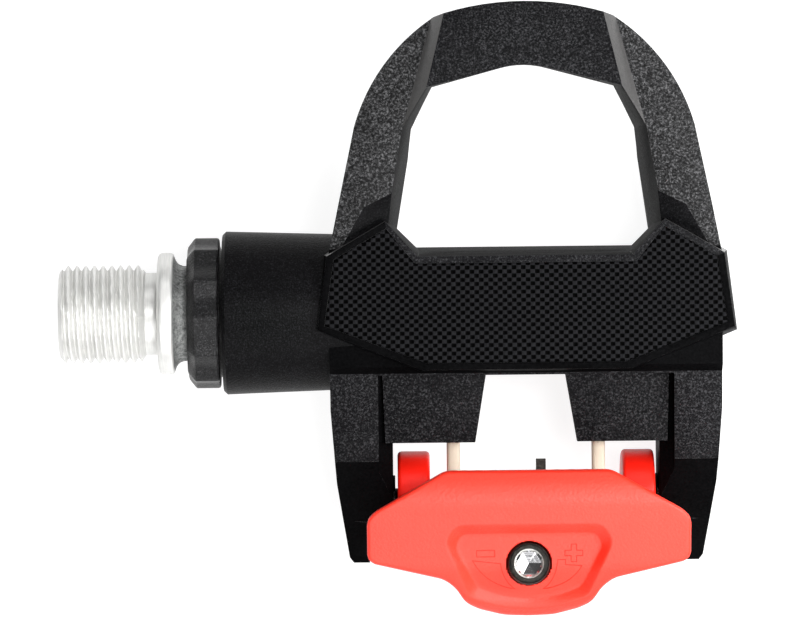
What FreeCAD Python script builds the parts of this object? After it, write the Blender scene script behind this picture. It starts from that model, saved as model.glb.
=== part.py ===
import FreeCAD, Part
import math
import os
import re

import Sketcher
from FreeCAD import Placement, Rotation, Vector

# Clipless road pedal for the right-hand crank, in millimetres.
# Origin: middle of the crank thread, on the spindle axis.
# +X points away from the crank, +Y to the nose, +Z up through the tread.

doc = FreeCAD.newDocument("clipless_pedal")
sheet = doc.addObject("Spreadsheet::Sheet", "dims")

SIZES = {
    # whole pedal
    "centre_x": 61.3,
    "fit_gap": 0.02,
    # spindle
    "collar_x": 8.0,
    "thread_len": 12.6,
    "thread_rad": 7.14,
    "thread_root": 6.4,
    "pitch": 1.27,
    "relief_len": 1.8,
    "relief_rad": 6.0,
    "collar_rad": 8.9,
    "collar_len": 2.1,
    "shaft_rad": 6.85,
    "needle_track": 6.0,
    "waist_rad": 4.3,
    "race_seat": 3.5,
    "tip_rad": 3.0,
    "tip_x": 83.0,
    "key_flat": 8.0,
    "key_depth": 9.0,
    # lockring and seals
    "ring_start": 12.3,
    "ring_end": 17.0,
    "ring_rad": 11.0,
    "sleeve_rad": 9.35,
    "sleeve_end": 21.0,
    # needle bearing
    "cup_start": 21.2,
    "cup_len": 10.0,
    "cup_rad": 9.0,
    "cup_wall": 0.35,
    "cup_lip": 6.3,
    "needle_rad": 0.75,
    "needle_cage_in": 6.35,
    "needle_cage_out": 6.95,
    # ball bearing
    "race_start": 70.0,
    "race_len": 5.0,
    "race_rad": 7.4,
    "ball_rad": 1.2,
    "ball_circle": 5.25,
    "ball_cage_in": 4.8,
    "ball_cage_out": 5.7,
    "ball_cage_len": 3.6,
    "inner_race_out": 4.4,
    "outer_race_in": 6.1,
    # axle nut
    "nut_corner": 5.7,
    "nut_len": 4.5,
    # boss, beam and tread
    "boss_start": 17.45,
    "boss_rad": 11.9,
    "boss_tip": 11.3,
    "tread_z": 12.0,
    "deck_z": 10.2,
    "belly_z": -9.6,
    "beam_half": 9.3,
    "peak_x": 20.1,
    "peak_y": 12.9,
    "notch_x": 15.5,
    "notch_y": 7.85,
    "upper_x": 28.6,
    "upper_y": 8.0,
    "lower_x": 30.0,
    "lower_y": -2.6,
    "base_x": 15.05,
    "base_y": -8.5,
    "rim": 1.0,
    # nose loop
    "nose_y": 44.2,
    "nose_top": 16.0,
    # rails, tabs and pivot
    "rail_half": 27.8,
    "rail_in": 19.35,
    "rail_edge": 21.4,
    "ledge_low": 4.0,
    "ledge_high": 6.2,
    "rail_top": 8.6,
    "tail_y": -36.7,
    "tab_y": -19.1,
    "tab_low": 3.1,
    "tab_high": 6.2,
    "pivot_y": -27.9,
    "pivot_z": -2.0,
    "pin_rad": 2.0,
    "pin_half": 26.8,
    # springs
    "wire_rad": 1.0,
    "coil_rad": 3.5,
    "coil_pitch": 2.15,
    "leg_half": 10.65,
    # latch
    "latch_top": 18.2,
    "claw_y": -22.9,
    "wing_half": 23.15,
    "ear_in": 14.0,
    "ear_out": 18.7,
    "ear_rad": 7.4,
    "screw_y": -36.3,
    "screw_rad": 2.5,
    "head_rad": 3.1,
    "screw_key": 3.0,
    "plate_low": 2.7,
    "plate_high": 5.0,
}
for row, (alias, value) in enumerate(SIZES.items(), start=1):
    sheet.set("A%d" % row, alias)
    sheet.set("B%d" % row, str(value))
    sheet.setAlias("B%d" % row, alias)
doc.recompute()


def bound(text):
    """A formula over the sheet's names, written for setExpression."""
    return re.sub(r"\b([a-z]\w*)\b(?![(\w])", r"dims.\1", str(text))


def size(text):
    return float(sheet.evalExpression(bound(text)))


def new_body(name):
    return doc.addObject("PartDesign::Body", name)


def plane_of(body, role):
    return [f for f in body.Origin.OriginFeatures if f.Role == role][0]


def sketch_on(body, name, role, offset=None):
    """Sketch on an origin plane, with an optional shift along the plane's normal."""
    sketch = body.newObject("Sketcher::SketchObject", name)
    sketch.AttachmentSupport = [(plane_of(body, role), "")]
    sketch.MapMode = "FlatFace"
    if offset is not None:
        sketch.setExpression("AttachmentOffset.Base.z", bound(offset))
    return sketch


def pin_point(sketch, geo, end, spot):
    for kind, text in zip(("DistanceX", "DistanceY"), spot):
        index = sketch.addConstraint(Sketcher.Constraint(kind, -1, 1, geo, end, size(text)))
        sketch.setExpression("Constraints[%d]" % index, bound(text))


def draw_loop(sketch, path):
    """Closed outline through (x, y) formulas; ("via", x, y) bends the piece it sits on."""
    corners = [p for p in path if p[0] != "via"]
    bends = {}
    count = 0
    for p in path:
        if p[0] == "via":
            bends[count - 1] = p[1:]
        else:
            count += 1
    spots = [Vector(size(x), size(y), 0) for x, y in corners]
    ends = []
    for i, start in enumerate(spots):
        stop = spots[(i + 1) % count]
        if i in bends:
            via = Vector(size(bends[i][0]), size(bends[i][1]), 0)
            turns_left = (via - start).cross(stop - via).z > 0
            first, last = (start, stop) if turns_left else (stop, start)
            geo = sketch.addGeometry(Part.ArcOfCircle(first, via, last), False)
            helper = sketch.addGeometry(Part.Point(via), True)
            pin_point(sketch, helper, 1, bends[i])
            sketch.addConstraint(Sketcher.Constraint("PointOnObject", helper, 1, geo))
            ends.append((geo, 1, 2) if turns_left else (geo, 2, 1))
        else:
            geo = sketch.addGeometry(Part.LineSegment(start, stop), False)
            ends.append((geo, 1, 2))
    for i, (geo, first, last) in enumerate(ends):
        after = ends[(i + 1) % count]
        sketch.addConstraint(Sketcher.Constraint("Coincident", geo, last, after[0], after[1]))
        pin_point(sketch, geo, first, corners[i])


def hexagon(corner):
    """Corners of a hexagon, the first on the sketch's vertical axis."""
    made = []
    for i in range(6):
        angle = math.radians(90 + 60 * i)
        made.append(("%.5f * %s" % (math.cos(angle), corner), "%.5f * %s" % (math.sin(angle), corner)))
    return made


def draw_circle(sketch, x, y, radius):
    circle = Part.Circle(Vector(size(x), size(y), 0), Vector(0, 0, 1), size(radius))
    geo = sketch.addGeometry(circle, False)
    pin_point(sketch, geo, 3, (x, y))
    index = sketch.addConstraint(Sketcher.Constraint("Radius", geo, size(radius)))
    sketch.setExpression("Constraints[%d]" % index, bound(radius))


def both_sides(half):
    """Whole outline from its right half, listed rear to front."""
    flipped = []
    for p in reversed(half):
        if p[-2] != "0":
            flipped.append(p[:-2] + ("-(%s)" % p[-2], p[-1]))
    return half + flipped


def pad(body, sketch, low, high):
    feature = body.newObject("PartDesign::Pad", sketch.Name + "_pad")
    feature.Profile = sketch
    feature.SideType = "Two sides"
    feature.setExpression("Length", bound(high))
    feature.setExpression("Length2", bound("-(%s)" % low))
    return feature


def cut_through(body, sketch):
    feature = body.newObject("PartDesign::Pocket", sketch.Name + "_cut")
    feature.Profile = sketch
    feature.Type = "ThroughAll"
    feature.Midplane = True
    return feature


def cut_span(body, sketch, length, backwards=False):
    feature = body.newObject("PartDesign::Pocket", sketch.Name + "_cut")
    feature.Profile = sketch
    feature.Type = "Length"
    feature.Reversed = backwards
    feature.setExpression("Length", bound(length))
    return feature


def turn(body, name, profile, cut=False):
    """Turned shape about the X axis from (x, radius) pairs."""
    sketch = sketch_on(body, name, "XY_Plane")
    draw_loop(sketch, profile)
    kind = "PartDesign::Groove" if cut else "PartDesign::Revolution"
    feature = body.newObject(kind, name + "_turn")
    feature.Profile = sketch
    feature.ReferenceAxis = (sketch, ["H_Axis"])
    feature.Angle = 360
    return feature


def ring(name, start, stop, inner, outer):
    """Plain ring about the spindle axis."""
    body = new_body(name)
    turn(body, name + "_profile", [(start, inner), (stop, inner), (stop, outer), (start, outer)])
    return body


def computed(name, shape):
    feature = doc.addObject("Part::Feature", name)
    feature.Shape = shape
    return feature


# Spindle: thread crests and roots, relief, collar, seal land, needle track, waist, race seat, tip.
def thread_profile():
    turns = int(size("thread_len") / size("pitch")) - 1
    start = "collar_x - relief_len - thread_len"
    pairs = [(start, "0"), (start, "thread_root"), (start + " + 0.7", "thread_rad")]
    for i in range(turns):
        base = start + " + 1.0 + %d * pitch" % i
        pairs.append((base, "thread_rad"))
        pairs.append((base + " + 0.35 * pitch", "thread_root"))
        pairs.append((base + " + 0.5 * pitch", "thread_root"))
        pairs.append((base + " + 0.85 * pitch", "thread_rad"))
    pairs.append(("collar_x - relief_len - 0.6", "thread_rad"))
    return pairs


spindle = new_body("spindle")
turn(spindle, "spindle_profile", thread_profile() + [
    ("collar_x - relief_len", "relief_rad"),
    ("collar_x", "relief_rad"),
    ("collar_x", "collar_rad - 0.6"),
    ("collar_x + 0.6", "collar_rad"),
    ("collar_x + collar_len", "collar_rad"),
    ("collar_x + collar_len + 0.8", "collar_rad - 0.9"),
    ("ring_start - 0.1", "shaft_rad + 0.1"),
    ("ring_start + 0.1", "shaft_rad"),
    ("sleeve_end - 2.4", "shaft_rad"),
    ("sleeve_end - 1.4", "needle_track"),
    ("cup_start + cup_len + 0.6", "needle_track"),
    ("cup_start + cup_len + 4", "waist_rad"),
    ("race_start", "waist_rad"),
    ("race_start", "race_seat"),
    ("race_start + race_len", "race_seat"),
    ("race_start + race_len", "tip_rad"),
    ("tip_x - 0.5", "tip_rad"),
    ("tip_x", "tip_rad - 0.5"),
    ("tip_x", "0"),
])
key = sketch_on(spindle, "key_socket", "YZ_Plane", "collar_x - relief_len - thread_len")
draw_loop(key, hexagon("key_flat / sqrt(3)"))
cut_span(spindle, key, "key_depth", backwards=True)

# Parts that turn with the spindle at its outer end.
washer = ring("axle_washer", "race_start + race_len + 0.01", "race_start + race_len + 0.9",
              "tip_rad + fit_gap", "race_seat + 0.8")
nut = new_body("axle_nut")
nut_sketch = sketch_on(nut, "nut_outline", "YZ_Plane", "race_start + race_len + 0.91")
draw_loop(nut_sketch, hexagon("nut_corner"))
draw_circle(nut_sketch, "0", "0", "tip_rad + fit_gap")
pad(nut, nut_sketch, "0", "nut_len")


# Bearings.
def race(name, inner, outer, groove_side):
    """Bearing race with a ball groove on its inner or outer wall."""
    body = ring(name, "race_start + 0.01", "race_start + race_len - 0.01", inner, outer)
    sketch = sketch_on(body, name + "_groove", "XY_Plane")
    mid = "race_start + race_len / 2"
    grip = "ball_rad + fit_gap"
    sign = "-" if groove_side == "outside" else "+"
    wall = outer if groove_side == "outside" else inner
    half = math.sqrt(size(grip) ** 2 - (size("ball_circle") - size(wall)) ** 2)
    deep = ("via", mid, "ball_circle %s (%s)" % (sign, grip))
    left = ("%s - %.4f" % (mid, half), wall)
    right = ("%s + %.4f" % (mid, half), wall)
    lift = "-0.01" if groove_side == "inside" else "+0.01"
    draw_loop(sketch, [left, deep, right,
                       (right[0], "%s %s" % (wall, lift)), (left[0], "%s %s" % (wall, lift))])
    groove = body.newObject("PartDesign::Groove", name + "_groove_turn")
    groove.Profile = sketch
    groove.ReferenceAxis = (sketch, ["H_Axis"])
    groove.Angle = 360
    return body


inner_race = race("ball_bearing_inner_race", "race_seat + 0.01", "inner_race_out", "outside")
outer_race = race("ball_bearing_outer_race", "outer_race_in", "race_rad", "inside")


def around_axis(count, x, radius):
    """Points evenly spaced on a circle about the spindle axis."""
    for i in range(count):
        angle = 2 * math.pi * i / count
        yield Vector(x, radius * math.cos(angle), radius * math.sin(angle))


ALONG = Vector(1, 0, 0)


def tube_shape(inner, outer, length, start):
    """Tube along +X from start; inner and outer are radii."""
    outside = Part.makeCylinder(outer, length, start, ALONG)
    return outside.cut(Part.makeCylinder(inner, length, start, ALONG))


BALLS = 11
ball_plane = Vector(size("race_start + race_len / 2"), 0, 0)
ball_spots = list(around_axis(BALLS, ball_plane.x, size("ball_circle")))
ball_shapes = [Part.makeSphere(size("ball_rad"), spot) for spot in ball_spots]
balls = computed("bearing_balls", Part.Compound(ball_shapes))
ball_cage_start = ball_plane - ALONG * (size("ball_cage_len") / 2)
ball_tube = tube_shape(size("ball_cage_in"), size("ball_cage_out"), size("ball_cage_len"), ball_cage_start)
pockets = []
for spot in ball_spots:
    pockets.append(Part.makeCylinder(size("ball_rad + 0.04"), 8, ball_plane, spot - ball_plane))
ball_cage = computed("ball_cage", ball_tube.cut(pockets))

NEEDLES = 18
needle_start = size("cup_start") + 1.2
needle_len = size("cup_len") - 2.4
needle_spots = list(around_axis(NEEDLES, needle_start, size("needle_track + needle_rad + fit_gap")))
needle_shapes = [Part.makeCylinder(size("needle_rad"), needle_len, spot, ALONG) for spot in needle_spots]
needles = computed("needle_rollers", Part.Compound(needle_shapes))
needle_tube = tube_shape(size("needle_cage_in"), size("needle_cage_out"), needle_len + 1.6,
                         Vector(needle_start - 0.8, 0, 0))
slots = []
for spot in needle_spots:
    slots.append(Part.makeCylinder(size("needle_rad + 0.05"), needle_len + 0.2, spot - ALONG * 0.1, ALONG))
needle_cage = computed("needle_cage", needle_tube.cut(slots))
cup_bore = "needle_track + 2 * needle_rad + 2 * fit_gap"
needle_cup = new_body("needle_cup")
turn(needle_cup, "cup_profile", [
    ("cup_start", "cup_lip"), ("cup_start + cup_wall", "cup_lip"), ("cup_start + cup_wall", cup_bore),
    ("cup_start + cup_len - cup_wall", cup_bore), ("cup_start + cup_len - cup_wall", "cup_lip"),
    ("cup_start + cup_len", "cup_lip"), ("cup_start + cup_len", "cup_rad"), ("cup_start", "cup_rad"),
])
circlip = ring("bearing_circlip", "race_start - 0.85", "race_start - 0.05", "5.9", "race_rad + 0.35")

# Lockring: twelve flats outside, threaded sleeve into the boss, lip for the seal.
lockring = new_body("lockring")
ring_sketch = sketch_on(lockring, "ring_outline", "YZ_Plane", "ring_start")
draw_loop(ring_sketch, [
    ("ring_rad * %.5f" % math.cos(math.radians(3.5 + 30 * i)),
     "ring_rad * %.5f" % math.sin(math.radians(3.5 + 30 * i))) for i in range(12)])
pad(lockring, ring_sketch, "0", "ring_end - ring_start")
turn(lockring, "ring_bevel", [
    ("ring_start", "ring_rad - 1.3"), ("ring_start + 0.9", "ring_rad + 0.1"),
    ("ring_start", "ring_rad + 0.1"),
], cut=True)
turn(lockring, "ring_sleeve", [
    ("ring_end - 1", "8"), ("ring_end - 1", "sleeve_rad"), ("sleeve_end - 0.5", "sleeve_rad"),
    ("sleeve_end", "sleeve_rad - 0.5"), ("sleeve_end", "8"),
])
turn(lockring, "ring_bore", [
    ("ring_start - 1", "0"), ("ring_start - 1", "shaft_rad + 0.35"), ("ring_start + 1", "shaft_rad + 0.35"),
    ("ring_start + 1", "shaft_rad + 1.2"), ("ring_end - 0.6", "shaft_rad + 1.2"),
    ("ring_end - 0.6", "shaft_rad + 0.35"), ("sleeve_end + 1", "shaft_rad + 0.35"), ("sleeve_end + 1", "0"),
], cut=True)
turn(lockring, "oring_groove", [
    ("ring_end + 0.6", "sleeve_rad - 0.85"), ("ring_end + 1.9", "sleeve_rad - 0.85"),
    ("ring_end + 1.9", "sleeve_rad + 1"), ("ring_end + 0.6", "sleeve_rad + 1"),
], cut=True)
lip_seal = new_body("lip_seal")
turn(lip_seal, "seal_profile", [
    ("ring_start + 1.05", "shaft_rad + 0.25"), ("ring_start + 1.9", "shaft_rad + 0.04"),
    ("ring_start + 2.4", "shaft_rad + 0.04"), ("ring_start + 3", "shaft_rad + 0.4"),
    ("ring_end - 0.65", "shaft_rad + 0.4"), ("ring_end - 0.65", "shaft_rad + 1.2"),
    ("ring_start + 1.05", "shaft_rad + 1.2"),
])
o_ring = doc.addObject("Part::Torus", "o_ring")
o_ring.setExpression("Radius1", bound("sleeve_rad - 0.41"))
o_ring.setExpression("Radius2", "0.4")
o_ring.Placement = Placement(Vector(size("ring_end + 1.25"), 0, 0), Rotation(Vector(0, 1, 0), 90))
o_ring.setExpression("Placement.Base.x", bound("ring_end + 1.25"))

# Pedal body, drawn about its own centre plane and set outboard by centre_x.
body = new_body("pedal_body")
body.setExpression("Placement.Base.x", bound("centre_x"))
SIDES = (("right", 1), ("left", -1))
slab = sketch_on(body, "loop_outline", "XY_Plane")
draw_loop(slab, both_sides([
    ("23.7", "tail_y"), ("25.2", "tail_y"), ("25.8", "tail_y + 0.8"), ("rail_half - 0.3", "-25"),
    ("rail_half + 0.5", "-14.3"), ("rail_half + 0.6", "upper_y"), ("24.45", "26.5"),
    ("via", "20.2", "35.2"), ("12.9", "42.1"), ("via", "0", "nose_y"),
]))
pad(body, slab, "-13", "18")
top_trim = sketch_on(body, "top_trim", "YZ_Plane")
draw_loop(top_trim, [
    ("-60", "rail_top - 7.5"), ("-30.5", "rail_top - 6.2"), ("-21.7", "rail_top - 1.6"), ("-9", "rail_top"),
    ("-8", "deck_z"), ("9", "deck_z"), ("15", "deck_z + 1.9"), ("31", "nose_top - 0.7"), ("60", "nose_top"),
    ("60", "40"), ("-60", "40"),
])
cut_through(body, top_trim)
low_trim = sketch_on(body, "low_trim", "YZ_Plane")
draw_loop(low_trim, [
    ("-60", "-5"), ("-36", "-5.5"), ("-30", "-7.2"), ("-14", "-7.2"), ("-beam_half", "belly_z + 2.4"),
    ("-beam_half + 2.4", "belly_z"), ("beam_half - 2.4", "belly_z"), ("beam_half", "belly_z + 2.4"),
    ("24", "1"), ("38", "6.2"), ("60", "9"), ("60", "-40"), ("-60", "-40"),
])
cut_through(body, low_trim)


def sloped_opening(name, low_path, high_path, low_z, high_z):
    """Opening whose walls slope from one outline to the other."""
    lower = sketch_on(body, name + "_low", "XY_Plane", low_z)
    draw_loop(lower, low_path)
    upper = sketch_on(body, name + "_high", "XY_Plane", high_z)
    draw_loop(upper, high_path)
    feature = body.newObject("PartDesign::SubtractiveLoft", name)
    feature.Profile = lower
    feature.Sections = [upper]
    feature.Ruled = True


sloped_opening("toe_opening", both_sides([
    ("18.9", "beam_half"), ("16.0", "26.5"), ("12.9", "32.6"), ("3.5", "35.2"), ("via", "0", "35.7"),
]), both_sides([
    ("21.4", "beam_half - 2.2"), ("17.9", "26.3"), ("14.0", "32.0"), ("3.5", "34.6"), ("via", "0", "35.1"),
]), "0", "nose_top")
below = sketch_on(body, "toe_below", "XY_Plane")
draw_loop(below, both_sides([
    ("18.9", "beam_half"), ("16.0", "26.5"), ("12.9", "32.6"), ("3.5", "35.2"), ("via", "0", "35.7"),
]))
cut_span(body, below, "15")


def heel_path(half):
    return [(half, "-60"), (half, "-beam_half"), ("-(%s)" % half, "-beam_half"), ("-(%s)" % half, "-60")]


sloped_opening("heel_opening", heel_path("rail_in"), heel_path("rail_edge"), "ledge_low", "ledge_high")
heel_below = sketch_on(body, "heel_below", "XY_Plane", "ledge_low")
draw_loop(heel_below, heel_path("rail_in"))
cut_span(body, heel_below, "20")
heel_above = sketch_on(body, "heel_above", "XY_Plane", "ledge_high")
draw_loop(heel_above, heel_path("rail_edge"))
cut_span(body, heel_above, "12", backwards=True)
tail_gap = sketch_on(body, "tail_gap", "XY_Plane")
draw_loop(tail_gap, both_sides([("22.9", "-60"), ("22.9", "-32"), ("19", "-29.5")]))
cut_through(body, tail_gap)

# Slot under the bridge that takes the cleat's nose.
nose_slot = sketch_on(body, "nose_slot", "YZ_Plane")
draw_loop(nose_slot, [("28", "7.8"), ("37.5", "8.6"), ("37.5", "nose_top - 4.6"), ("28", "nose_top - 4.6")])
slot_cut = body.newObject("PartDesign::Pocket", "nose_slot_cut")
slot_cut.Profile = nose_slot
slot_cut.Midplane = True
slot_cut.Length = 22

# Arm tops lie below the bridge, which ends in a sloping facet on each side.
ARM_TILT = Rotation(Vector(1, 0, 0), 3.15)
arm_low = [(11.0, 37.1), (13.2, 29.1), (17.5, 13.2), (15.0, 5.0), (15.0, -14.0), (40.0, -14.0), (40.0, 37.1)]
arm_high = [(7.6, 37.1), (9.9, 29.1), (14.2, 13.2), (11.7, 5.0), (11.7, -14.0), (40.0, -14.0), (40.0, 37.1)]
for side, hand in SIDES:
    sections = []
    for level, path, lift in (("low", arm_low, 0), ("high", arm_high, 4)):
        section = sketch_on(body, "arm_%s_%s" % (level, side), "XY_Plane")
        base = Vector(0, 13, size("tread_z")) + ARM_TILT.multVec(Vector(0, 0, lift))
        section.AttachmentOffset = Placement(base, ARM_TILT)
        draw_loop(section, [("%.1f" % (hand * x), "%.1f" % y) for x, y in path])
        sections.append(section)
    arm_cut = body.newObject("PartDesign::SubtractiveLoft", "arm_top_" + side)
    arm_cut.Profile = sections[0]
    arm_cut.Sections = [sections[1]]
    arm_cut.Ruled = True


def plane_cut(name, first, second, third, reach):
    """Cuts away what lies above the plane through three points, to reach on either side of the first two."""
    across = (second - first).normalize()
    normal = across.cross(third - first).normalize()
    if normal.z < 0:
        normal = -normal
    sketch = sketch_on(body, name, "XY_Plane")
    turned = Rotation(across, normal.cross(across), normal, "ZXY")
    sketch.AttachmentOffset = Placement(first, turned)
    span = "%.2f" % ((second - first).Length + 12)
    draw_loop(sketch, [("-3", "-%s" % reach), (span, "-%s" % reach), (span, reach), ("-3", reach)])
    cut_span(body, sketch, "8", backwards=True)


# Outer edge of each rail's tail is bevelled.
for side, hand in SIDES:
    plane_cut("tail_bevel_" + side, Vector(hand * 27.3, -25.7, 5.1), Vector(hand * 25.4, -30.2, 2.55),
              Vector(hand * 27.0, -36.7, -1.5), "5")

# Arm tops fall away towards the tread behind a slanting crease.
for side, hand in SIDES:
    crease = sketch_on(body, "crease_" + side, "XY_Plane")
    facet = Rotation(Vector(0, 0, 1), -27.2 * hand) * Rotation(Vector(1, 0, 0), 27)
    crease.AttachmentOffset = Placement(Vector(hand * 23.5, 14.8, size("tread_z + 0.1")), facet)
    draw_loop(crease, [("-9", "0"), ("9", "0"), ("9", "-14"), ("-9", "-14")])
    cut_span(body, crease, "8", backwards=True)

# Raised frame round the tread plate, flaring below its top edge.
def tread_outline(grow):
    slope = 0.6 * grow
    half = [
        ("base_x + %.3f" % slope, "base_y - %.3f" % grow),
        ("lower_x + %.3f" % grow, "lower_y - %.3f" % slope),
        ("upper_x + %.3f" % grow, "upper_y + %.3f" % (0.5 * grow)),
        ("peak_x + %.3f" % (0.1 * grow), "peak_y + %.3f" % grow),
        ("notch_x - %.3f" % (0.4 * grow), "notch_y + %.3f" % grow),
    ]
    return both_sides(half)


low_frame = sketch_on(body, "frame_low", "XY_Plane", "tread_z - 9")
draw_loop(low_frame, tread_outline(0.9))
high_frame = sketch_on(body, "frame_high", "XY_Plane", "tread_z")
draw_loop(high_frame, tread_outline(0))
frame_loft = body.newObject("PartDesign::AdditiveLoft", "tread_frame")
frame_loft.Profile = low_frame
frame_loft.Sections = [high_frame]
frame_loft.Ruled = True

boss_end = "boss_start - centre_x"
turn(body, "boss", [
    (boss_end, "0"), (boss_end, "boss_rad - 0.5"), (boss_end + " + 0.5", "boss_rad"),
    (boss_end + " + 19", "boss_tip"), (boss_end + " + 24", "beam_half"), (boss_end + " + 24", "0"),
])
insert_well = sketch_on(body, "insert_well", "XY_Plane", "tread_z")
draw_loop(insert_well, tread_outline(-1.0))
cut_span(body, insert_well, "1.8")

# Tabs behind the beam, over the springs' front legs.
for side, hand in SIDES:
    tab = sketch_on(body, "tab_" + side, "XY_Plane")
    tab_path = [(20.8, "1 - beam_half"), (5.6, "1 - beam_half"), (7.4, "tab_y"), (20.4, "tab_y")]
    draw_loop(tab, [("%.1f" % (hand * x), y) for x, y in tab_path])
    pad(body, tab, "tab_low", "tab_high")

# Bore for the spindle and its bearings.
turn(body, "axle_bore", [
    ("boss_start - 1 - centre_x", "0"), ("boss_start - 1 - centre_x", "sleeve_rad + fit_gap"),
    ("sleeve_end + 0.1 - centre_x", "sleeve_rad + fit_gap"),
    ("sleeve_end + 0.1 - centre_x", "cup_rad + 0.01"),
    ("cup_start + cup_len + 0.1 - centre_x", "cup_rad + 0.01"),
    ("cup_start + cup_len + 0.1 - centre_x", "race_rad + 0.01"),
    ("race_start - 0.9 - centre_x", "race_rad + 0.01"), ("race_start - 0.9 - centre_x", "race_rad + 0.4"),
    ("race_start - centre_x", "race_rad + 0.4"), ("race_start - centre_x", "race_rad + 0.01"),
    ("race_start + race_len + 0.02 - centre_x", "race_rad + 0.01"),
    ("race_start + race_len + 0.02 - centre_x", "race_rad - 0.9"),
    ("tip_x + 1 - centre_x", "race_rad - 0.9"), ("tip_x + 2.5 - centre_x", "0"),
], cut=True)
for side, hand in SIDES:
    collar = sketch_on(body, "pin_collar_" + side, "YZ_Plane")
    draw_circle(collar, "pivot_y", "pivot_z", "pin_rad + 1.9")
    reach = ("ear_out + 0.35", "ear_out + 3") if hand > 0 else ("-(ear_out + 3)", "-(ear_out + 0.35)")
    pad(body, collar, *reach)
pin_hole = sketch_on(body, "pin_hole", "YZ_Plane")
draw_circle(pin_hole, "pivot_y", "pivot_z", "pin_rad + 0.01")
cut_through(body, pin_hole)

# Tread plate.
tread = new_body("tread_plate")
tread.setExpression("Placement.Base.x", bound("centre_x"))
tread_sketch = sketch_on(tread, "plate_outline", "XY_Plane")
draw_loop(tread_sketch, tread_outline(-1.04))
pad(tread, tread_sketch, "tread_z - 1.78", "tread_z")


# Pivot pin, its sleeve, and the two springs wound on it.
pin = doc.addObject("Part::Cylinder", "pivot_pin")
pin.setExpression("Radius", bound("pin_rad"))
pin.setExpression("Height", bound("2 * pin_half"))
sleeve = new_body("spring_sleeve")
sleeve_sketch = sketch_on(sleeve, "sleeve_outline", "YZ_Plane")
draw_circle(sleeve_sketch, "0", "0", "pin_rad + 0.05")
draw_circle(sleeve_sketch, "0", "0", "pin_rad + 0.3")
pad(sleeve, sleeve_sketch, "-(ear_in - 0.4)", "ear_in - 0.4")
sleeve.setExpression("Placement.Base.x", bound("centre_x"))
sleeve.setExpression("Placement.Base.y", bound("pivot_y"))
sleeve.setExpression("Placement.Base.z", bound("pivot_z"))
pin.Placement = Placement(Vector(size("centre_x - pin_half"), 0, 0), Rotation(Vector(0, 1, 0), 90))
pin.setExpression("Placement.Base.x", bound("centre_x - pin_half"))
pin.setExpression("Placement.Base.y", bound("pivot_y"))
pin.setExpression("Placement.Base.z", bound("pivot_z"))

COIL_TURNS = 3
BENDS_PER_TURN = 16


def spring_shape(hand):
    """Torsion spring of squarish wire: front leg under the tab, three turns round the pin, rear leg."""
    level = size("pivot_z + coil_rad")
    front = size("leg_half")
    points = [Vector(front, size("tab_y + 6.6"), level)]
    for i in range(COIL_TURNS * BENDS_PER_TURN + 1):
        angle = 2 * math.pi * i / BENDS_PER_TURN
        points.append(Vector(
            front - size("coil_pitch") * i / BENDS_PER_TURN,
            size("pivot_y") - size("coil_rad") * math.sin(angle),
            size("pivot_z") + size("coil_rad") * math.cos(angle)))
    points.append(Vector(front - COIL_TURNS * size("coil_pitch"), size("screw_y - 2.2"), level))
    half = size("wire_rad") - 0.1
    flat = half - 0.35
    section = [(half, flat), (flat, half), (-flat, half), (-half, flat),
               (-half, -flat), (-flat, -half), (flat, -half), (half, -flat), (half, flat)]
    profile = Part.makePolygon([points[0] + Vector(x, 0, z) for x, z in section])
    shape = Part.makePolygon(points).makePipeShell([profile], True, True, 1)
    if hand < 0:
        shape = shape.mirror(Vector(0, 0, 0), Vector(1, 0, 0))
    return shape


for side, hand in SIDES:
    spring = computed("spring_" + side, spring_shape(hand))
    spring.Placement = Placement(Vector(size("centre_x"), 0, 0), Rotation())

# Latch: sloping plate with a rolled claw, back wall, two ears and a boss for the screw insert.
latch = new_body("latch")
latch.setExpression("Placement.Base.x", bound("centre_x"))
latch_side = sketch_on(latch, "latch_side", "YZ_Plane")
draw_loop(latch_side, [
    ("claw_y - 0.4", "latch_top - 3.2"), ("claw_y", "latch_top - 1.8"),
    ("via", "claw_y - 0.6", "latch_top - 0.5"), ("claw_y - 2.1", "latch_top"),
    ("-30", "latch_top - 0.9"), ("-37", "latch_top - 3.7"), ("-41.8", "latch_top - 7.4"),
    ("-44.25", "latch_top - 10.6"), ("-44.25", "1"), ("-41.3", "-1"), ("-41.3", "7.8"),
    ("-39.4", "10.3"), ("-35", "12.2"), ("-29", "latch_top - 4.2"), ("-25.5", "latch_top - 3.2"),
])
pad(latch, latch_side, "-wing_half", "wing_half")
latch_plan = sketch_on(latch, "latch_plan", "XY_Plane")
draw_loop(latch_plan, [("-40", "-60"), ("40", "-60"), ("40", "-10"), ("-40", "-10")])
draw_loop(latch_plan, both_sides([
    ("3.6", "-44.1"), ("7.3", "-43.0"), ("9.1", "-41.9"), ("10.5", "-39.8"), ("12.0", "-38.5"),
    ("wing_half - 0.75", "-36.1"), ("wing_half", "-35.4"), ("wing_half", "-29.7"),
    ("wing_half - 0.95", "-28.7"), ("11.95", "claw_y + 0.1"),
]))
cut_through(latch, latch_plan)
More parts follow.
